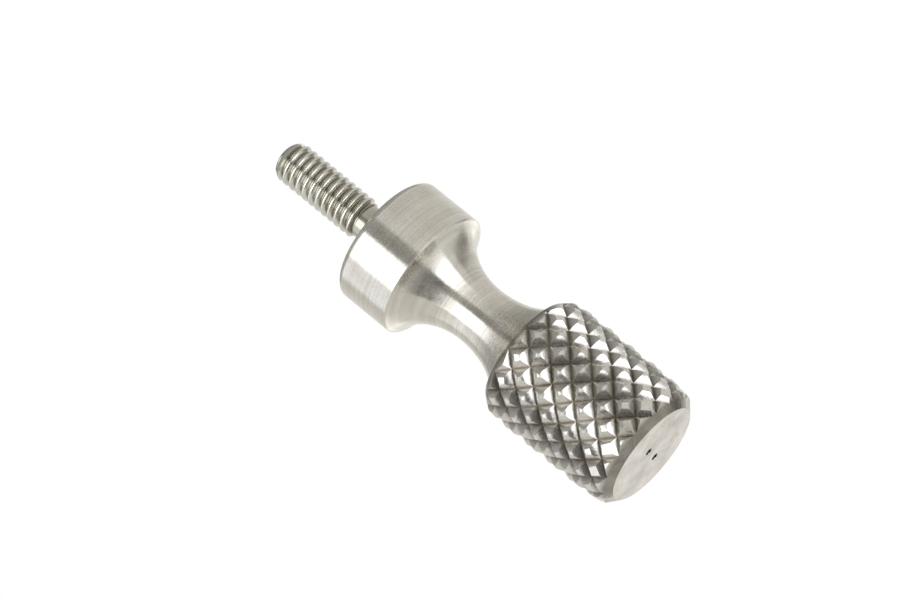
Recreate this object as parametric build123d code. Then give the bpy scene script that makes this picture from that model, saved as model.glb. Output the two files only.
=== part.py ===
from build123d import *
import os
from math import acos, cos, degrees, pi, radians, sin, tan

# Knurled knob turned from one bar, standing on the end face of its grip.
# +Z runs up the axis: knurled grip, waist, plain collar, threaded stud.
# The origin is the centre of the end face. Lengths in millimetres, angles in degrees.

# Grip
grip_length = 14.9
grip_diameter = 12.6
grip_edge_diameter = 12.15
grip_taper_length = 1.6
end_face_diameter = 10.15
end_chamfer_length = 0.9
waist_face_diameter = 11.0
waist_chamfer_length = 0.85

# Diamond knurl: two crossing sets of V grooves that leave pointed diamonds.
# The shift is the height of one row of points, the turn is the azimuth of one point in it.
knurl_starts = 16
knurl_angle = 44.5
knurl_depth = 0.46
knurl_turn = -2.6
knurl_shift = 2.0

# Two small pits in the end face
pit_diameter = 0.75
pit_tip_diameter = 0.2
pit_depth = 0.45
pit_spacing = 2.3

# Waist: a hollow sweep from its thinnest ring to the grip, another to the collar
waist_diameter = 5.68
grip_foot_diameter = 10.1
grip_sweep_length = 5.7
grip_sweep_height = 3.6
collar_sweep_length = 5.85
collar_sweep_height = 4.75

# Collar
collar_diameter = 12.7
collar_length = 6.15
collar_waist_chamfer = 0.08
seat_edge_height = 0.9
seat_edge_width = 1.45

# Stud: a plain relief at its root, then the threaded length,
# which is a plain cylinder over the crests of its thread
relief_diameter = 3.3
relief_length = 2.8
thread_diameter = 4.06
thread_length = 9.5
thread_lead_in = 0.4
tip_diameter = 1.8
tip_chamfer_length = 1.15

# Radii
grip_radius = grip_diameter / 2
grip_edge_radius = grip_edge_diameter / 2
end_face_radius = end_face_diameter / 2
waist_face_radius = waist_face_diameter / 2
waist_radius = waist_diameter / 2
grip_foot_radius = grip_foot_diameter / 2
collar_radius = collar_diameter / 2
relief_radius = relief_diameter / 2
thread_radius = thread_diameter / 2
tip_radius = tip_diameter / 2

# Heights
waist_height = grip_length + grip_sweep_length
collar_start = waist_height + collar_sweep_length
seat = collar_start + collar_length
thread_start = seat + relief_length
tip = thread_start + thread_length


def toothed_bar(hand):
    """A bar with a V groove for each start, twisted to the knurl's angle, right-handed for 1."""
    twist_per_length = degrees(tan(radians(knurl_angle)) / grip_radius)
    start_turn = knurl_turn - hand * twist_per_length * knurl_shift
    corners = []
    for corner in range(2 * knurl_starts):
        radius = grip_radius - knurl_depth * (corner % 2)
        turn = radians(start_turn) + corner * pi / knurl_starts
        corners.append((radius * cos(turn), radius * sin(turn)))
    section = make_face(Polyline(*corners, close=True)).face().outer_wire()
    return Solid.extrude_linear_with_rotation(
        section,
        Vector(0, 0, 0),
        Vector(0, 0, grip_length),
        hand * twist_per_length * grip_length,
    )


def grip_blank():
    """What the knurl's points reach: lower towards each end, with a chamfer at its edge."""
    waist_edge = grip_length - waist_chamfer_length
    profile = Polyline(
        (0, 0),
        (end_face_radius, 0),
        (grip_edge_radius, end_chamfer_length),
        (grip_radius, end_chamfer_length + grip_taper_length),
        (grip_radius, waist_edge - grip_taper_length),
        (grip_edge_radius, waist_edge),
        (waist_face_radius, grip_length),
        (0, grip_length),
        close=True,
    )
    return revolve(Plane.XZ * make_face(profile), Axis.Z)


def waist_sweep(length, height, end_radius, way):
    """A quarter-ellipse sweep from the thinnest ring, down to the grip for 1, up for -1."""
    angle = acos(1 - (end_radius - waist_radius) / height)
    return EllipticalCenterArc(
        (waist_radius + height, waist_height),
        height,
        length / sin(angle),
        start_angle=180,
        arc_size=way * degrees(angle),
    )


def turned_body():
    """Waist, collar and stud, revolved from one profile."""
    rim_radius = collar_radius - collar_waist_chamfer
    seat_radius = collar_radius - seat_edge_width
    seat_edge = EllipticalCenterArc(
        (seat_radius, seat - seat_edge_height),
        seat_edge_width,
        seat_edge_height,
        start_angle=0,
        arc_size=90,
    )
    profile = [
        Polyline((0, tip), (0, grip_length), (grip_foot_radius, grip_length)),
        waist_sweep(grip_sweep_length, grip_sweep_height, grip_foot_radius, 1),
        waist_sweep(collar_sweep_length, collar_sweep_height, rim_radius, -1),
        Polyline(
            (rim_radius, collar_start),
            (collar_radius, collar_start + collar_waist_chamfer),
            (collar_radius, seat - seat_edge_height),
        ),
        seat_edge,
        Polyline(
            (seat_radius, seat),
            (relief_radius, seat),
            (relief_radius, thread_start),
            (thread_radius, thread_start + thread_lead_in),
            (thread_radius, tip - tip_chamfer_length),
            (tip_radius, tip),
            (0, tip),
        ),
    ]
    return revolve(Plane.XZ * make_face(Curve() + profile), Axis.Z)


def end_pits():
    """The two small pits, one each side of the end face's centre."""
    pit = Pos(0, pit_spacing / 2, 0) * Cone(
        pit_diameter / 2,
        pit_tip_diameter / 2,
        pit_depth,
        align=(Align.CENTER, Align.CENTER, Align.MIN),
    )
    return pit + mirror(pit, Plane.XZ)


blank = grip_blank()
grip = (blank & toothed_bar(1)) & (blank & toothed_bar(-1))
knob = grip + turned_body() - end_pits()

os.makedirs("parts", exist_ok=True)
export_step(knob.solid(), "parts/knurled_knob.step")
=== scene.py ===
import logging
import math
from collections.abc import Sequence
from dataclasses import dataclass
from enum import Enum

import bpy
from mathutils import Matrix, Vector


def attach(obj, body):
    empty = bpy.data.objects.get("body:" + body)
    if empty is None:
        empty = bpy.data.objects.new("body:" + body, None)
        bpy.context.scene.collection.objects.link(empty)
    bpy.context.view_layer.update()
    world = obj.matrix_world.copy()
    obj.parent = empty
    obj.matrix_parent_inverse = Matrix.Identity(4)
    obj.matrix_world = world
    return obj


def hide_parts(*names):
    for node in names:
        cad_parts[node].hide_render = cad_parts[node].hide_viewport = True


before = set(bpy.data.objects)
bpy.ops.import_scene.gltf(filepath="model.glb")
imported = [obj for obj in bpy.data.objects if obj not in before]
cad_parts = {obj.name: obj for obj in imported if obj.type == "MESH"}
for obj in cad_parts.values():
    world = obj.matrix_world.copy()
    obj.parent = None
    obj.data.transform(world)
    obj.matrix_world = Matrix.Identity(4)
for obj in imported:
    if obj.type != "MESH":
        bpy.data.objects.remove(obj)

log = logging.getLogger("knob")

NODE = "knurled_knob"
BODY = "root"
MILLIMETRE = 0.001

Station = tuple[float, float]
Colour = tuple[float, float, float, float]

WHITE: Colour = (1.0, 1.0, 1.0, 1.0)
COOL_WHITE: Colour = (0.94, 0.97, 1.06, 1.0)


class Cut(Enum):
    """How a tool shapes the piece that it meets."""

    JOIN = "UNION"
    REMOVE = "DIFFERENCE"
    TRIM = "INTERSECT"


@dataclass(frozen=True)
class Workbench:
    """The few modelling steps that every turned piece shares. The knob is made in millimetres."""

    merge_distance: float = 0.0005

    def clear(self) -> None:
        """Leaves nothing selected, in object mode."""
        if bpy.context.object and bpy.context.object.mode != "OBJECT":
            bpy.ops.object.mode_set(mode="OBJECT")
        bpy.ops.object.select_all(action="DESELECT")

    def pick(self, piece: bpy.types.Object) -> None:
        """Makes a piece the only selected and active one.

        Args:
            piece: The object to work on.
        """
        self.clear()
        piece.select_set(True)
        bpy.context.view_layer.objects.active = piece

    def draw(self, name: str, stations: Sequence[Station]) -> bpy.types.Object:
        """Draws the half outline of a turned piece as a chain of edges.

        Args:
            name: The new piece's name.
            stations: Radius and height of each corner, in order along the outline.

        Returns:
            The piece, left in edit mode with its last corner selected.
        """
        self.clear()
        bpy.ops.mesh.primitive_plane_add(size=1.0, location=(0.0, 0.0, 0.0))
        piece = bpy.context.object
        piece.name = name
        piece.data.name = name
        bpy.ops.object.mode_set(mode="EDIT")
        bpy.ops.mesh.select_all(action="SELECT")
        bpy.ops.mesh.merge(type="CENTER")
        radius, height = stations[0]
        bpy.ops.transform.translate(value=(radius, 0.0, height))
        for next_radius, next_height in stations[1:]:
            step = (next_radius - radius, 0.0, next_height - height)
            bpy.ops.mesh.extrude_region_move(TRANSFORM_OT_translate={"value": step})
            radius, height = next_radius, next_height
        return piece

    def spin(self, steps: int) -> None:
        """Spins the half outline that is in edit mode once round the axis.

        Args:
            steps: How many faces go round the piece.
        """
        bpy.ops.mesh.select_all(action="SELECT")
        bpy.ops.mesh.spin(
            steps=steps, angle=math.tau, center=(0.0, 0.0, 0.0), axis=(0.0, 0.0, 1.0)
        )

    def close(self, merge_distance: float) -> None:
        """Merges doubles, makes the faces point outwards and leaves edit mode.

        Args:
            merge_distance: Corners nearer to each other than this become one.
        """
        bpy.ops.mesh.select_all(action="SELECT")
        bpy.ops.mesh.remove_doubles(threshold=merge_distance)
        bpy.ops.mesh.normals_make_consistent(inside=False)
        bpy.ops.object.mode_set(mode="OBJECT")

    def turn(self, name: str, stations: Sequence[Station], steps: int) -> bpy.types.Object:
        """Turns a closed round piece from its half outline.

        Args:
            name: The new piece's name.
            stations: Radius and height of each corner. The first and last lie on the axis.
            steps: How many faces go round the piece.

        Returns:
            The piece, in object mode.
        """
        piece = self.draw(name, stations)
        self.spin(steps)
        self.close(self.merge_distance)
        return piece

    def combine(self, piece: bpy.types.Object, tool: bpy.types.Object, cut: Cut) -> None:
        """Shapes a piece with another, which is used up.

        Args:
            piece: The object that is kept.
            tool: The object that shapes it.
            cut: How it does so.
        """
        self.pick(piece)
        bpy.ops.object.modifier_add(type="BOOLEAN")
        modifier = piece.modifiers[-1]
        modifier.operation = cut.value
        modifier.solver = "EXACT"
        modifier.object = tool
        bpy.ops.object.modifier_apply(modifier=modifier.name)
        bpy.data.objects.remove(tool)

    def settle(self, piece: bpy.types.Object, smooth_angle: float) -> None:
        """Brings a finished piece to metres, smooths it and lets it ride on the body.

        Args:
            piece: The object, modelled in millimetres.
            smooth_angle: Edges sharper than this, in degrees, stay crisp.
        """
        self.pick(piece)
        piece.scale = (MILLIMETRE,) * 3
        bpy.ops.object.transform_apply(location=False, rotation=False, scale=True)
        bpy.ops.object.shade_smooth_by_angle(angle=math.radians(smooth_angle))
        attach(piece, BODY)


BENCH = Workbench()


def rounded_edge(
    outer_radius: float, width: float, top: float, drop: float, steps: int
) -> list[Station]:
    """Points of the quarter ellipse that rounds a piece's upper edge.

    Args:
        outer_radius: The radius where the rounding starts.
        width: How far it comes in.
        top: The height where it ends.
        drop: How far below that it starts.
        steps: How many straight parts it has.

    Returns:
        The stations, from the lowest to the highest.
    """
    stations = []
    for step in range(steps + 1):
        angle = math.pi / 2 * step / steps
        radius = outer_radius - width * (1 - math.cos(angle))
        stations.append((radius, top - drop * (1 - math.sin(angle))))
    return stations


class NodeBoard:
    """A node tree with short ways to add and join nodes."""

    def __init__(self, tree: bpy.types.NodeTree) -> None:
        """Takes a material's, world's or group's node tree to work on."""
        self.tree = tree

    def add(self, kind: str, **settings: object) -> bpy.types.Node:
        """Adds a node.

        Args:
            kind: The node's type, without its common prefix.
            settings: Properties to set on it.

        Returns:
            The new node.
        """
        node = self.tree.nodes.new("ShaderNode" + kind)
        for name, value in settings.items():
            setattr(node, name, value)
        return node

    def feed(self, socket: bpy.types.NodeSocket, source: object) -> None:
        """Gives an input its value, or joins it to an output.

        Args:
            socket: The input.
            source: A number, a colour or an output.
        """
        if isinstance(source, bpy.types.NodeSocket):
            self.tree.links.new(source, socket)
        else:
            socket.default_value = source

    def math(self, operation: str, first: object, second: object = 0.0) -> bpy.types.NodeSocket:
        """Adds one step of arithmetic.

        Args:
            operation: The Math node's operation.
            first: A number or an output.
            second: A number or an output.

        Returns:
            The result's socket.
        """
        node = self.add("Math", operation=operation)
        self.feed(node.inputs[0], first)
        self.feed(node.inputs[1], second)
        return node.outputs[0]

    def span(
        self, value: object, low: float, high: float, start: float = 0.0, end: float = 1.0
    ) -> bpy.types.NodeSocket:
        """Maps a value from one range to another, clamped.

        Args:
            value: The output to map.
            low: Where the first range starts.
            high: Where the first range ends.
            start: Where the second range starts.
            end: Where the second range ends.

        Returns:
            The result's socket.
        """
        node = self.add("MapRange", clamp=True)
        for place, item in enumerate((value, low, high, start, end)):
            self.feed(node.inputs[place], item)
        return node.outputs[0]

    def blend(self, share: object, first: object, second: object) -> bpy.types.NodeSocket:
        """Mixes two colours.

        Args:
            share: How much of the second.
            first: A colour or an output.
            second: A colour or an output.

        Returns:
            The mixed colour's socket.
        """
        node = self.add("Mix", data_type="RGBA")
        self.feed(node.inputs["Factor"], share)
        self.feed(node.inputs["A"], first)
        self.feed(node.inputs["B"], second)
        return node.outputs["Result"]

    def noise(self, vector: object, scale: float, detail: float) -> bpy.types.NodeSocket:
        """Adds a noise texture.

        Args:
            vector: Where it is read.
            scale: How fine it is.
            detail: How many finer layers it has.

        Returns:
            Its value's socket.
        """
        node = self.add("TexNoise")
        self.feed(node.inputs["Vector"], vector)
        self.feed(node.inputs["Scale"], scale)
        self.feed(node.inputs["Detail"], detail)
        return node.outputs[0]


class GroupName(Enum):
    """The shared groups of shader nodes."""

    MARKS = "turning_marks"
    SPOTS = "mottling"


class SocketKind(Enum):
    """What a group's socket carries."""

    NUMBER = "NodeSocketFloat"
    VECTOR = "NodeSocketVector"


def new_group(
    name: GroupName, inputs: dict[str, SocketKind], outputs: Sequence[str]
) -> NodeBoard:
    """Makes an empty group with its sockets.

    Args:
        name: The group's name.
        inputs: The kind of each input, by its name.
        outputs: The names of its outputs, which are all numbers.

    Returns:
        The group's tree, ready to fill.
    """
    tree = bpy.data.node_groups.new(name.value, "ShaderNodeTree")
    for label, kind in inputs.items():
        tree.interface.new_socket(label, in_out="INPUT", socket_type=kind.value)
    for label in outputs:
        tree.interface.new_socket(label, in_out="OUTPUT", socket_type=SocketKind.NUMBER.value)
    return NodeBoard(tree)


@dataclass(frozen=True)
class TurningMarks:
    """Rings left by the turning tool, read by radius and height.

    The wander is how much a ring changes on its way round.
    """

    wander: float = 0.35
    scale: float = 1.0
    detail: float = 3.0

    def build(self) -> None:
        """Makes the group. It gives the rings' height, about a half, and the radius in metres."""
        inputs = {"Place": SocketKind.VECTOR, "Lines": SocketKind.NUMBER}
        board = new_group(GroupName.MARKS, inputs, ("Height", "Radius"))
        start = board.tree.nodes.new("NodeGroupInput")
        end = board.tree.nodes.new("NodeGroupOutput")
        parts = board.add("SeparateXYZ")
        board.feed(parts.inputs[0], start.outputs["Place"])
        across = board.math("POWER", parts.outputs["X"], 2.0)
        along = board.math("POWER", parts.outputs["Y"], 2.0)
        radius = board.math("SQRT", board.math("ADD", across, along))
        travel = board.math("SUBTRACT", parts.outputs["Z"], radius)
        turn = board.math("ARCTAN2", parts.outputs["Y"], parts.outputs["X"])
        place = board.add("CombineXYZ")
        board.feed(place.inputs["X"], board.math("MULTIPLY", travel, start.outputs["Lines"]))
        for axis, wave in (("Y", "SINE"), ("Z", "COSINE")):
            swing = board.math("MULTIPLY", board.math(wave, turn), self.wander)
            board.feed(place.inputs[axis], swing)
        rings = board.noise(place.outputs[0], self.scale, self.detail)
        board.feed(end.inputs["Height"], rings)
        board.feed(end.inputs["Radius"], radius)


@dataclass(frozen=True)
class Mottling:
    """Faint stains and handling marks over the whole knob. Scales are per metre."""

    coarse_scale: float = 420.0
    coarse_detail: float = 3.0
    fine_scale: float = 2600.0
    fine_detail: float = 4.0
    low: float = 0.3
    high: float = 0.7

    def build(self) -> None:
        """Makes the group, which gives a coarse and a fine mask."""
        inputs = {"Place": SocketKind.VECTOR}
        board = new_group(GroupName.SPOTS, inputs, ("Coarse", "Fine"))
        start = board.tree.nodes.new("NodeGroupInput")
        end = board.tree.nodes.new("NodeGroupOutput")
        coarse = board.noise(start.outputs["Place"], self.coarse_scale, self.coarse_detail)
        fine = board.noise(start.outputs["Place"], self.fine_scale, self.fine_detail)
        board.feed(end.inputs["Coarse"], board.span(coarse, self.low, self.high))
        board.feed(end.inputs["Fine"], board.span(fine, self.low, self.high))


@dataclass(frozen=True)
class Surface:
    """What a finish reads of the surface: its place, its turning marks and its mottling."""

    board: NodeBoard
    place: bpy.types.NodeSocket
    marks: bpy.types.Node
    spots: bpy.types.Node


@dataclass(frozen=True)
class Finish:
    """Bare aluminium as one part of the knob shows it. Lengths in metres.

    Painted shade darkens the metal from the high shade radius in to the low one, in grooves and
    thread roots. Nearly black painted shade fills the pits, which lie within the pit reach of the
    axis.
    """

    name: str
    roughness: float
    colour: Colour = (0.585, 0.562, 0.505, 1.0)
    stain: Colour = (0.50, 0.47, 0.40, 1.0)
    stain_share: float = 0.5
    # The rings' darker tone, and also the colour of the painted shade in grooves and thread roots.
    ring_tone_and_groove_shade: Colour = (0.26, 0.23, 0.17, 1.0)
    # The painted shade grows from the high radius in to the low one; the least share keeps it
    # patchy.
    groove_shade_low: float = 0.0
    groove_shade_high: float = 0.0
    groove_shade_least: float = 0.6
    # The nearly black painted shade in the end face's pits.
    pit: Colour = (0.03, 0.028, 0.025, 1.0)
    pit_shade_reach: float = 0.0
    pit_shade_floor: float = 0.00003
    rough_spread: float = 0.08
    stretch: float = 0.0
    stretch_turn: float = 0.25
    lines: float = 5200.0
    line_height: float = 2.2e-6
    line_shade: float = 0.1
    shade_low: float = 0.35
    shade_high: float = 0.65
    grain_height: float = 1.2e-6

    def surface(self, board: NodeBoard) -> Surface:
        """Adds the nodes that read the surface.

        Args:
            board: The material's nodes.

        Returns:
            What the finish works from.
        """
        place = board.add("TexCoord").outputs["Object"]
        marks = board.add("Group", node_tree=bpy.data.node_groups[GroupName.MARKS.value])
        board.feed(marks.inputs["Place"], place)
        board.feed(marks.inputs["Lines"], self.lines)
        spots = board.add("Group", node_tree=bpy.data.node_groups[GroupName.SPOTS.value])
        board.feed(spots.inputs["Place"], place)
        return Surface(board, place, marks, spots)

    def metal(self, surface: Surface) -> bpy.types.NodeSocket:
        """The clean metal's colour, with its stains and the shade of its rings.

        Args:
            surface: What the finish works from.

        Returns:
            The colour's socket.
        """
        board = surface.board
        share = board.math("MULTIPLY", surface.spots.outputs["Coarse"], self.stain_share)
        stained = board.blend(share, self.colour, self.stain)
        rings = surface.marks.outputs["Height"]
        shade = board.span(rings, self.shade_low, self.shade_high, 0.0, self.line_shade)
        return board.blend(shade, stained, self.ring_tone_and_groove_shade)

    def shade_grooves(self, surface: Surface, colour: bpy.types.NodeSocket) -> bpy.types.NodeSocket:
        """Paints shade near the axis, in patches, where grooves and thread roots lie.

        Args:
            surface: What the finish works from.
            colour: The metal's colour.

        Returns:
            The colour with the dirt on it.
        """
        board = surface.board
        # Painted shade: deepest towards the axis, in grooves and thread roots, patchy with the
        # coarse mottling.
        depth = board.span(surface.marks.outputs["Radius"], self.groove_shade_high, self.groove_shade_low)
        patch = board.span(surface.spots.outputs["Coarse"], 0.0, 1.0, self.groove_shade_least, 1.0)
        return board.blend(board.math("MULTIPLY", depth, patch), colour, self.ring_tone_and_groove_shade)

    def pits(self, surface: Surface, colour: bpy.types.NodeSocket) -> bpy.types.NodeSocket:
        """Paints nearly black shade into the pits in the end face.

        Args:
            surface: What the finish works from.
            colour: The metal's colour.

        Returns:
            The colour with painted shade in the pits.
        """
        board = surface.board
        parts = board.add("SeparateXYZ")
        board.feed(parts.inputs[0], surface.place)
        # Painted shade: inside the pits, above the end face and near the axis, the metal turns
        # nearly black.
        sunk = board.math("GREATER_THAN", parts.outputs["Z"], self.pit_shade_floor)
        near = board.math("LESS_THAN", surface.marks.outputs["Radius"], self.pit_shade_reach)
        return board.blend(board.math("MULTIPLY", sunk, near), colour, self.pit)

    def sheen(self, surface: Surface, shader: bpy.types.Node) -> None:
        """Sets how sharp the shine is, and draws it out across the rings where it is stretched.

        Args:
            surface: What the finish works from.
            shader: The material's shader.
        """
        board = surface.board
        smoothest = self.roughness - self.rough_spread / 2
        roughest = self.roughness + self.rough_spread / 2
        rough = board.span(surface.spots.outputs["Fine"], 0.0, 1.0, smoothest, roughest)
        board.feed(shader.inputs["Roughness"], rough)
        if self.stretch > 0.0:
            shader.inputs["Anisotropic"].default_value = self.stretch
            shader.inputs["Anisotropic Rotation"].default_value = self.stretch_turn
            tangent = board.add("Tangent", direction_type="RADIAL", axis="Z")
            board.feed(shader.inputs["Tangent"], tangent.outputs[0])

    def relief(self, surface: Surface) -> bpy.types.NodeSocket:
        """The fine relief of the rings and the grain.

        Args:
            surface: What the finish works from.

        Returns:
            The normal's socket.
        """
        board = surface.board
        lines = board.math("MULTIPLY", surface.marks.outputs["Height"], self.line_height)
        grain = board.math("MULTIPLY", surface.spots.outputs["Fine"], self.grain_height)
        bump = board.add("Bump")
        board.feed(bump.inputs["Distance"], 1.0)
        board.feed(bump.inputs["Height"], board.math("ADD", lines, grain))
        return bump.outputs["Normal"]

    def material(self) -> bpy.types.Material:
        """Makes the material.

        Returns:
            The new material.
        """
        material = bpy.data.materials.new(self.name)
        material.use_nodes = True
        shader = material.node_tree.nodes["Principled BSDF"]
        shader.inputs["Metallic"].default_value = 1.0
        surface = self.surface(NodeBoard(material.node_tree))
        colour = self.metal(surface)
        # Painted shade in the grooves and thread roots.
        if self.groove_shade_high > 0.0:
            colour = self.shade_grooves(surface, colour)
        # Painted shade in the pits of the end face.
        if self.pit_shade_reach > 0.0:
            colour = self.pits(surface, colour)
        surface.board.feed(shader.inputs["Base Color"], colour)
        self.sheen(surface, shader)
        surface.board.feed(shader.inputs["Normal"], self.relief(surface))
        return material


KNURLED = Finish(
    name="knurled_metal",
    roughness=0.24,
    colour=(0.57, 0.547, 0.5, 1.0),
    # A dark colour for the rings and for the painted shade in the knurl's grooves.
    ring_tone_and_groove_shade=(0.17, 0.15, 0.117, 1.0),
    groove_shade_low=0.0057,
    groove_shade_high=0.0061,
    pit_shade_reach=0.0017,
    grain_height=8.0e-6,
)
TURNED = Finish(
    name="turned_metal",
    roughness=0.26,
    stain=(0.5, 0.462, 0.375, 1.0),
    stain_share=0.65,
    stretch=0.95,
    line_height=1.15e-5,
    line_shade=0.3,
    grain_height=6.0e-7,
)
THREADED = Finish(
    name="thread_metal",
    roughness=0.25,
    colour=(0.58, 0.565, 0.5, 1.0),
    # A dark colour for the rings and for the painted shade in the thread roots.
    ring_tone_and_groove_shade=(0.2, 0.185, 0.12, 1.0),
    groove_shade_low=0.00158,
    groove_shade_high=0.00187,
)


@dataclass(frozen=True)
class Maker:
    """One sub-assembly of the knob, with the finish that it is dressed in."""

    finish: Finish

    def build(self) -> bpy.types.Object:
        """Makes the piece, each sub-assembly in its own way."""
        raise NotImplementedError

    def dress(self, piece: bpy.types.Object) -> None:
        """Gives the finished piece its material."""
        piece.data.materials.clear()
        piece.data.materials.append(self.finish.material())


@dataclass(frozen=True)
class Roller:
    """One set of knurl grooves. Lengths in millimetres, angles in degrees.

    The turn is the azimuth at which one crest of the set leaves the end face. The overhang is
    how far its bar goes past the grip at each end. It differs from the other set's, so that the
    two bars' ends never share a plane.
    """

    hand: int
    starts: int
    turn: float
    overhang: float


@dataclass(frozen=True)
class Grip(Maker):
    """The diamond-knurled grip, with the two pits in its end face. Millimetres and degrees."""

    finish: Finish = KNURLED
    length: float = 14.9
    radius: float = 6.35
    face_radius: float = 5.075
    chamfer: float = 0.9
    edge_radius: float = 6.05
    taper: float = 3.2
    waist_face_radius: float = 5.5
    waist_chamfer: float = 0.85
    waist_edge_radius: float = 6.15
    waist_taper: float = 2.0
    pitch: float = 2.555
    depth: float = 0.65
    dome: float = 1.55
    right: Roller = Roller(hand=1, starts=14, turn=0.56, overhang=0.3)
    left: Roller = Roller(hand=-1, starts=15, turn=2.28, overhang=0.9)
    tooth_points: int = 8
    rise_steps: int = 66
    round_steps: int = 192
    smooth_angle: float = 20.0
    pit_radius: float = 0.375
    pit_tip_radius: float = 0.1
    pit_depth: float = 0.45
    pit_spacing: float = 2.3
    pit_steps: int = 24

    def toothed_bar(self, roller: Roller) -> bpy.types.Object:
        """A bar with a groove for each start, twisted to the roller's lead.

        Args:
            roller: The set of grooves that the bar carries.

        Returns:
            The bar, a little longer than the grip at both ends.
        """
        BENCH.clear()
        count = roller.starts * self.tooth_points
        bpy.ops.mesh.primitive_circle_add(
            vertices=count, radius=self.radius, fill_type="NGON", location=(0.0, 0.0, 0.0)
        )
        bar = bpy.context.object
        height = self.length + 2 * roller.overhang
        bpy.ops.object.mode_set(mode="EDIT")
        for place in range(1, self.tooth_points // 2 + 1):
            self.lower_points(bar, place)
        bpy.ops.mesh.select_all(action="SELECT")
        bpy.ops.transform.translate(value=(0.0, 0.0, -roller.overhang))
        rise = height / self.rise_steps
        for _ in range(self.rise_steps):
            bpy.ops.mesh.extrude_region_move(TRANSFORM_OT_translate={"value": (0.0, 0.0, rise)})
        BENCH.close(BENCH.merge_distance)
        self.twist(bar, roller, height)
        return bar

    def lower_points(self, bar: bpy.types.Object, place: int) -> None:
        """Lowers the outline's points that lie this many places off a tooth's crest.

        Args:
            bar: The flat outline, in edit mode.
            place: How many points lie between these and the crest, these counted.
        """
        away = place / (self.tooth_points / 2)
        drop = self.depth * away**self.dome
        bpy.ops.mesh.select_all(action="DESELECT")
        bpy.ops.object.mode_set(mode="OBJECT")
        for index, vertex in enumerate(bar.data.vertices):
            offset = index % self.tooth_points
            vertex.select = min(offset, self.tooth_points - offset) == place
        bpy.ops.object.mode_set(mode="EDIT")
        share = (self.radius - drop) / self.radius
        bpy.ops.transform.resize(value=(share, share, 1.0), center_override=(0.0, 0.0, 0.0))

    def twist(self, bar: bpy.types.Object, roller: Roller, height: float) -> None:
        """Twists a straight toothed bar and turns it to its place.

        Args:
            bar: The bar, with its first crest on +Y, where a circle starts.
            roller: The set of grooves that it carries.
            height: How long it is.
        """
        BENCH.pick(bar)
        bpy.ops.object.modifier_add(type="SIMPLE_DEFORM")
        modifier = bar.modifiers[-1]
        modifier.deform_method = "TWIST"
        modifier.deform_axis = "Z"
        modifier.angle = roller.hand * math.tau * height / (roller.starts * self.pitch)
        bpy.ops.object.modifier_apply(modifier=modifier.name)
        bar.rotation_euler.z = math.radians(roller.turn) - math.pi / 2
        bpy.ops.object.transform_apply(location=False, rotation=True, scale=False)

    def blank(self) -> bpy.types.Object:
        """What the knurl's points reach: lower towards each end, with a chamfer at its edge.

        Returns:
            The blank.
        """
        waist_edge = self.length - self.waist_chamfer
        stations = [
            (0.0, 0.0),
            (self.face_radius, 0.0),
            (self.edge_radius, self.chamfer),
            (self.radius, self.chamfer + self.taper),
            (self.radius, waist_edge - self.waist_taper),
            (self.waist_edge_radius, waist_edge),
            (self.waist_face_radius, self.length),
            (0.0, self.length),
        ]
        return BENCH.turn("grip_blank", stations, self.round_steps)

    def pit(self, side: int) -> bpy.types.Object:
        """The tool that sinks one small pit in the end face.

        Args:
            side: 1 or -1, the side of the face's centre.

        Returns:
            The tool, half of it below the face.
        """
        BENCH.clear()
        bpy.ops.mesh.primitive_cone_add(
            vertices=self.pit_steps,
            radius1=2 * self.pit_radius - self.pit_tip_radius,
            radius2=self.pit_tip_radius,
            depth=2 * self.pit_depth,
            location=(0.0, side * self.pit_spacing / 2, 0.0),
        )
        return bpy.context.object

    def build(self) -> bpy.types.Object:
        """Makes the grip, which stands for the part's solid.

        Returns:
            The finished grip.
        """
        grip = self.toothed_bar(self.right)
        grip.name = "knurled_grip"
        grip.data.name = "knurled_grip"
        BENCH.combine(grip, self.toothed_bar(self.left), Cut.TRIM)
        BENCH.combine(grip, self.blank(), Cut.TRIM)
        for side in (1, -1):
            BENCH.combine(grip, self.pit(side), Cut.REMOVE)
        BENCH.settle(grip, self.smooth_angle)
        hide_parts(NODE)
        return grip


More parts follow.
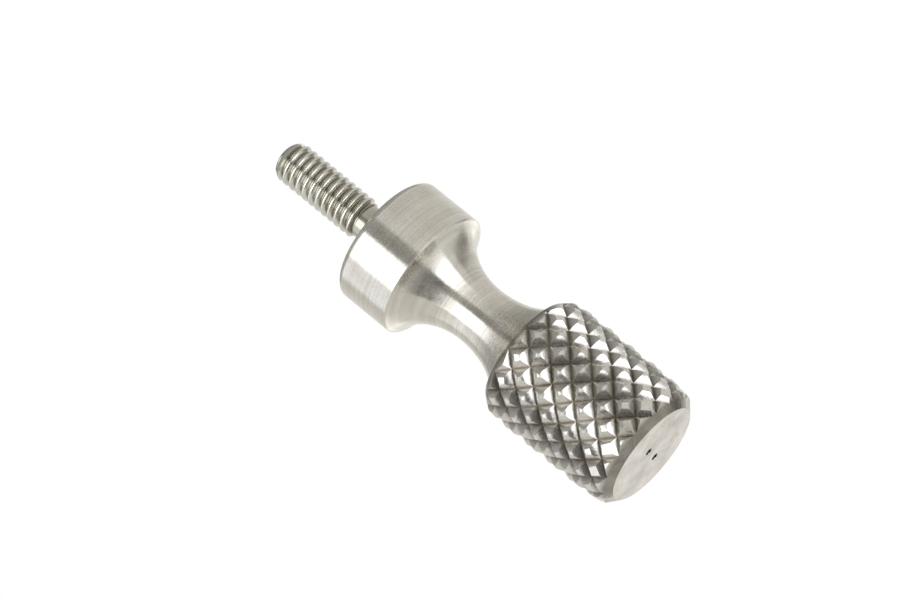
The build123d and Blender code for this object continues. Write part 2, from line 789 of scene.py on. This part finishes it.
@dataclass(frozen=True)
class Body(Maker):
    """Waist and collar, turned in one. Millimetres and degrees.

    The foot goes a little way into the grip.
    """

    finish: Finish = TURNED
    grip_length: float = 14.9
    foot_radius: float = 5.05
    foot_depth: float = 1.2
    waist_radius: float = 2.84
    grip_sweep_length: float = 5.7
    grip_sweep_height: float = 3.6
    collar_sweep_length: float = 5.85
    collar_sweep_height: float = 4.75
    collar_radius: float = 6.35
    collar_length: float = 6.15
    rim_chamfer: float = 0.08
    seat_edge_height: float = 0.9
    seat_edge_width: float = 1.45
    sweep_steps: int = 36
    edge_steps: int = 14
    round_steps: int = 256
    smooth_angle: float = 30.0

    def sweep(self, length: float, height: float, end_radius: float, way: int) -> list[Station]:
        """Points of one hollow sweep, from the waist's thinnest ring outwards.

        Args:
            length: How far it runs along the axis.
            height: The ellipse's half height.
            end_radius: The radius where it ends.
            way: 1 towards the collar, -1 towards the grip.

        Returns:
            The stations, without the one at the thinnest ring.
        """
        middle = self.grip_length + self.grip_sweep_length
        whole = math.acos(1 - (end_radius - self.waist_radius) / height)
        run = length / math.sin(whole)
        stations = []
        for step in range(1, self.sweep_steps + 1):
            angle = whole * step / self.sweep_steps
            radius = self.waist_radius + height * (1 - math.cos(angle))
            stations.append((radius, middle + way * run * math.sin(angle)))
        return stations

    def build(self) -> bpy.types.Object:
        """Makes the waist and collar.

        Returns:
            The finished piece.
        """
        middle = self.grip_length + self.grip_sweep_length
        collar_start = middle + self.collar_sweep_length
        seat = collar_start + self.collar_length
        rim_radius = self.collar_radius - self.rim_chamfer
        inside = self.grip_length - self.foot_depth
        grip_side = self.sweep(self.grip_sweep_length, self.grip_sweep_height, self.foot_radius, -1)
        collar_side = self.sweep(self.collar_sweep_length, self.collar_sweep_height, rim_radius, 1)
        seat_edge = rounded_edge(
            self.collar_radius, self.seat_edge_width, seat, self.seat_edge_height, self.edge_steps
        )
        stations = [
            (0.0, inside),
            (self.foot_radius, inside),
            *reversed(grip_side),
            (self.waist_radius, middle),
            *collar_side,
            (self.collar_radius, collar_start + self.rim_chamfer),
            *seat_edge,
            (0.0, seat),
        ]
        piece = BENCH.turn("waist_and_collar", stations, self.round_steps)
        BENCH.settle(piece, self.smooth_angle)
        return piece


@dataclass(frozen=True)
class Stud(Maker):
    """The stud with its right-hand thread. Millimetres and degrees.

    The thread is cut from a longer one, with spare turns at both ends. Its phase is a share of
    the pitch. The allowances keep the blank off the relief's and the crests' own surfaces.
    """

    finish: Finish = THREADED
    seat: float = 32.6
    relief_radius: float = 1.65
    relief_length: float = 2.25
    relief_allowance: float = 0.02
    relief_cone: float = 0.1
    root_radius: float = 1.6
    crest_radius: float = 2.03
    crest_allowance: float = 0.01
    pitch: float = 0.794
    crest_flat: float = 0.12
    crest_edge: float = 0.07
    crest_drop: float = 0.037
    root_flat: float = 0.1
    phase: float = 0.4
    spare_turns: int = 2
    lead_in: float = 0.4
    length: float = 10.05
    tip_radius: float = 0.65
    tip_round: float = 1.3
    tip_steps: int = 8
    root_depth: float = 0.8
    thread_steps: int = 72
    round_steps: int = 96
    smooth_angle: float = 37.0

    def tooth(self) -> list[Station]:
        """The outline of one turn of the thread, from root to root.

        Returns:
            The stations, from the lowest to the highest.
        """
        flank = (self.pitch - self.crest_flat - self.root_flat) / 2 - self.crest_edge
        shoulder = self.crest_radius - self.crest_drop
        start = self.seat + self.relief_length - self.spare_turns * self.pitch
        start += self.phase * self.pitch
        rise = start + self.root_flat + flank
        return [
            (self.root_radius, start),
            (self.root_radius, start + self.root_flat),
            (shoulder, rise),
            (self.crest_radius, rise + self.crest_edge),
            (self.crest_radius, rise + self.crest_edge + self.crest_flat),
            (shoulder, rise + 2 * self.crest_edge + self.crest_flat),
            (self.root_radius, start + self.pitch),
        ]

    def thread(self) -> bpy.types.Object:
        """The threaded bar, longer than the stud at both ends.

        Returns:
            The bar.
        """
        bar = BENCH.draw("threaded_stud", self.tooth())
        BENCH.pick(bar)
        bpy.ops.object.modifier_add(type="SCREW")
        modifier = bar.modifiers[-1]
        modifier.angle = math.tau
        modifier.screw_offset = self.pitch
        modifier.iterations = math.ceil(self.length / self.pitch) + 2 * self.spare_turns
        modifier.steps = self.thread_steps
        modifier.render_steps = self.thread_steps
        modifier.use_merge_vertices = True
        modifier.merge_threshold = BENCH.merge_distance
        bpy.ops.object.modifier_apply(modifier=modifier.name)
        bpy.ops.object.mode_set(mode="EDIT")
        bpy.ops.mesh.select_all(action="SELECT")
        bpy.ops.mesh.remove_doubles(threshold=BENCH.merge_distance)
        bpy.ops.mesh.select_all(action="DESELECT")
        bpy.ops.mesh.select_mode(type="VERT")
        bpy.ops.mesh.select_non_manifold()
        bpy.ops.mesh.fill_holes(sides=0)
        BENCH.close(BENCH.merge_distance)
        return bar

    def blank(self) -> bpy.types.Object:
        """The stud as it is turned before its thread is cut.

        Returns:
            The blank, with its rounded tip.
        """
        start = self.seat + self.relief_length
        foot = start - self.pitch / 2
        tip = start + self.length
        inner_radius = self.relief_radius - self.relief_allowance
        outer_radius = self.crest_radius + self.crest_allowance
        width = outer_radius - self.tip_radius
        stations = [
            (0.0, foot),
            (inner_radius, foot),
            (inner_radius, start),
            (self.crest_radius, start + self.lead_in),
            *rounded_edge(outer_radius, width, tip, self.tip_round, self.tip_steps),
            (0.0, tip),
        ]
        return BENCH.turn("stud_blank", stations, self.round_steps)

    def relief(self) -> bpy.types.Object:
        """The plain length between the seat and the thread, with its root in the collar.

        Returns:
            The relief.
        """
        root = self.seat - self.root_depth
        top = self.seat + self.relief_length
        peak = top + self.relief_cone
        stations = [
            (0.0, root),
            (self.relief_radius, root),
            (self.relief_radius, top),
            (self.root_radius - self.relief_cone, peak),
            (0.0, peak),
        ]
        return BENCH.turn("stud_relief", stations, self.round_steps)

    def build(self) -> bpy.types.Object:
        """Makes the stud.

        Returns:
            The finished stud.
        """
        stud = self.thread()
        BENCH.combine(stud, self.blank(), Cut.TRIM)
        BENCH.combine(stud, self.relief(), Cut.JOIN)
        BENCH.settle(stud, self.smooth_angle)
        return stud


@dataclass(frozen=True)
class ViewPoint:
    """Where the camera stands, as found from the photograph.

    Lengths in metres, angles in degrees, the lens in millimetres. The camera looks along the
    object's +Y, from below the height of the end face, and is rolled so that the knob lies across
    the picture.
    """

    lens: float = 200.0
    aim_x: float = -0.00069
    aim_y: float = 0.00282
    aim_z: float = 0.02476
    distance: float = 0.45086
    elevation: float = -19.85
    roll: float = -50.815
    clip_start: float = 0.01
    clip_end: float = 20.0

    def place(self) -> None:
        """Makes the scene's camera."""
        data = bpy.data.cameras.new("camera")
        data.lens = self.lens
        data.clip_start = self.clip_start
        data.clip_end = self.clip_end
        camera = bpy.data.objects.new("camera", data)
        bpy.context.scene.collection.objects.link(camera)
        lift = math.radians(self.elevation)
        back = Vector((0.0, -math.cos(lift), math.sin(lift)))
        turn = Matrix.Rotation(math.radians(self.roll), 4, back)
        upright = (-back).to_track_quat("-Z", "Y").to_matrix().to_4x4()
        aim = Vector((self.aim_x, self.aim_y, self.aim_z))
        camera.matrix_world = Matrix.Translation(aim + back * self.distance) @ turn @ upright
        bpy.context.scene.camera = camera


@dataclass(frozen=True)
class Card:
    """A flat card or soft light round the knob, which only the metal shows.

    Azimuth runs from +X towards +Y, and elevation upwards from the middle of the knob. Width and
    height are the angles that the card fills. The angles are degrees, the lengths metres.
    """

    name: str
    azimuth: float
    elevation: float
    width: float
    height: float
    glow: float
    tint: Colour = WHITE
    distance: float = 0.5
    centre: float = 0.02

    def material(self) -> bpy.types.Material:
        """Makes the card's even glow.

        Returns:
            The new material.
        """
        material = bpy.data.materials.new(self.name)
        material.use_nodes = True
        board = NodeBoard(material.node_tree)
        board.tree.nodes.clear()
        light = board.add("Emission")
        board.feed(light.inputs["Color"], self.tint)
        board.feed(light.inputs["Strength"], self.glow)
        end = board.add("OutputMaterial")
        board.feed(end.inputs["Surface"], light.outputs[0])
        material.cycles.emission_sampling = "NONE"
        return material

    def place(self) -> None:
        """Stands the card in the studio, facing the knob."""
        BENCH.clear()
        bpy.ops.mesh.primitive_plane_add(size=1.0)
        card = bpy.context.object
        card.name = self.name
        across = 2 * self.distance * math.tan(math.radians(self.width / 2))
        upright = 2 * self.distance * math.tan(math.radians(self.height / 2))
        card.scale = (across, upright, 1.0)
        around = math.radians(self.azimuth)
        lift = math.radians(self.elevation)
        level = math.cos(lift)
        outward = Vector((level * math.cos(around), level * math.sin(around), math.sin(lift)))
        card.rotation_euler = outward.to_track_quat("Z", "Y").to_euler()
        card.location = outward * self.distance + Vector((0.0, 0.0, self.centre))
        bpy.ops.object.transform_apply(location=True, rotation=True, scale=True)
        card.data.materials.append(self.material())
        card.visible_camera = False
        card.visible_diffuse = False
        card.visible_shadow = False


@dataclass(frozen=True)
class Floor:
    """The pale floor, open under the end face, clear from below and for the metal. Metres."""

    opening: float = 0.0054
    radius: float = 0.6
    steps: int = 96
    merge_distance: float = 1e-6
    colour: Colour = (0.93, 0.93, 0.925, 1.0)
    roughness: float = 0.9

    def material(self) -> bpy.types.Material:
        """Makes the floor's material.

        Returns:
            The new material.
        """
        material = bpy.data.materials.new("floor")
        material.use_nodes = True
        board = NodeBoard(material.node_tree)
        shader = material.node_tree.nodes["Principled BSDF"]
        board.feed(shader.inputs["Base Color"], self.colour)
        board.feed(shader.inputs["Roughness"], self.roughness)
        path = board.add("LightPath")
        side = board.add("NewGeometry").outputs["Backfacing"]
        clear = board.math("MAXIMUM", side, path.outputs["Is Glossy Ray"])
        board.feed(shader.inputs["Alpha"], board.math("SUBTRACT", 1.0, clear))
        return material

    def place(self) -> None:
        """Lays the floor, with its face up."""
        floor = BENCH.draw("floor", [(self.opening, 0.0), (self.radius, 0.0)])
        BENCH.spin(self.steps)
        BENCH.close(self.merge_distance)
        if floor.data.polygons[0].normal.z < 0.0:
            BENCH.pick(floor)
            bpy.ops.object.mode_set(mode="EDIT")
            bpy.ops.mesh.select_all(action="SELECT")
            bpy.ops.mesh.flip_normals()
            bpy.ops.object.mode_set(mode="OBJECT")
        floor.data.materials.append(self.material())


@dataclass(frozen=True)
class Studio:
    """The white surroundings, the pale floor and the cards.

    The surround is how bright the surroundings are for all but the camera, metal and glass.
    """

    surround: float = 0.8
    floor: Floor = Floor()
    cards: tuple[Card, ...] = (
        Card(
            "side_softbox", azimuth=-129.5, elevation=19.0, width=47.0, height=50.0,
            glow=3.6, tint=COOL_WHITE,
        ),
        Card(
            "fill_card", azimuth=-176.0, elevation=19.0, width=44.0, height=36.0,
            glow=1.7, tint=COOL_WHITE,
        ),
        Card(
            "low_softbox", azimuth=-57.0, elevation=-35.0, width=44.0, height=42.0,
            glow=3.6, tint=COOL_WHITE,
        ),
        Card("back_softbox", azimuth=90.0, elevation=-20.0, width=50.0, height=30.0, glow=1.8),
        Card("camera_card", azimuth=-90.0, elevation=22.0, width=26.0, height=40.0, glow=0.4),
        Card("left_dark_card", azimuth=-113.0, elevation=-46.0, width=70.0, height=52.0, glow=0.2),
        Card("right_dark_card", azimuth=22.0, elevation=-27.0, width=56.0, height=22.0, glow=0.3),
        Card("top_card", azimuth=0.0, elevation=90.0, width=104.0, height=104.0, glow=0.5),
    )

    def world(self) -> None:
        """Makes the surroundings: white for the camera, metal and glass, softer elsewhere."""
        world = bpy.data.worlds.new("studio")
        bpy.context.scene.world = world
        world.use_nodes = True
        board = NodeBoard(world.node_tree)
        path = board.add("LightPath")
        seen = board.math("MAXIMUM", path.outputs["Is Camera Ray"], path.outputs["Is Glossy Ray"])
        seen = board.math("MAXIMUM", seen, path.outputs["Is Transmission Ray"])
        grey = (self.surround, self.surround, self.surround, 1.0)
        background = world.node_tree.nodes["Background"]
        board.feed(background.inputs["Color"], board.blend(seen, grey, WHITE))

    def build(self) -> None:
        """Makes the whole studio."""
        self.world()
        self.floor.place()
        for card in self.cards:
            card.place()
        bpy.context.scene.view_settings.view_transform = "Standard"


def main() -> None:
    """Builds the knob, dresses it and stands it in the studio."""
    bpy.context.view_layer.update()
    TurningMarks().build()
    Mottling().build()
    for maker in (Grip(), Body(), Stud()):
        piece = maker.build()
        maker.dress(piece)
        log.info("%s: %d faces", piece.name, len(piece.data.polygons))
    Studio().build()
    ViewPoint().place()


if __name__ == "__main__":
    logging.basicConfig(level=logging.INFO)
    main()
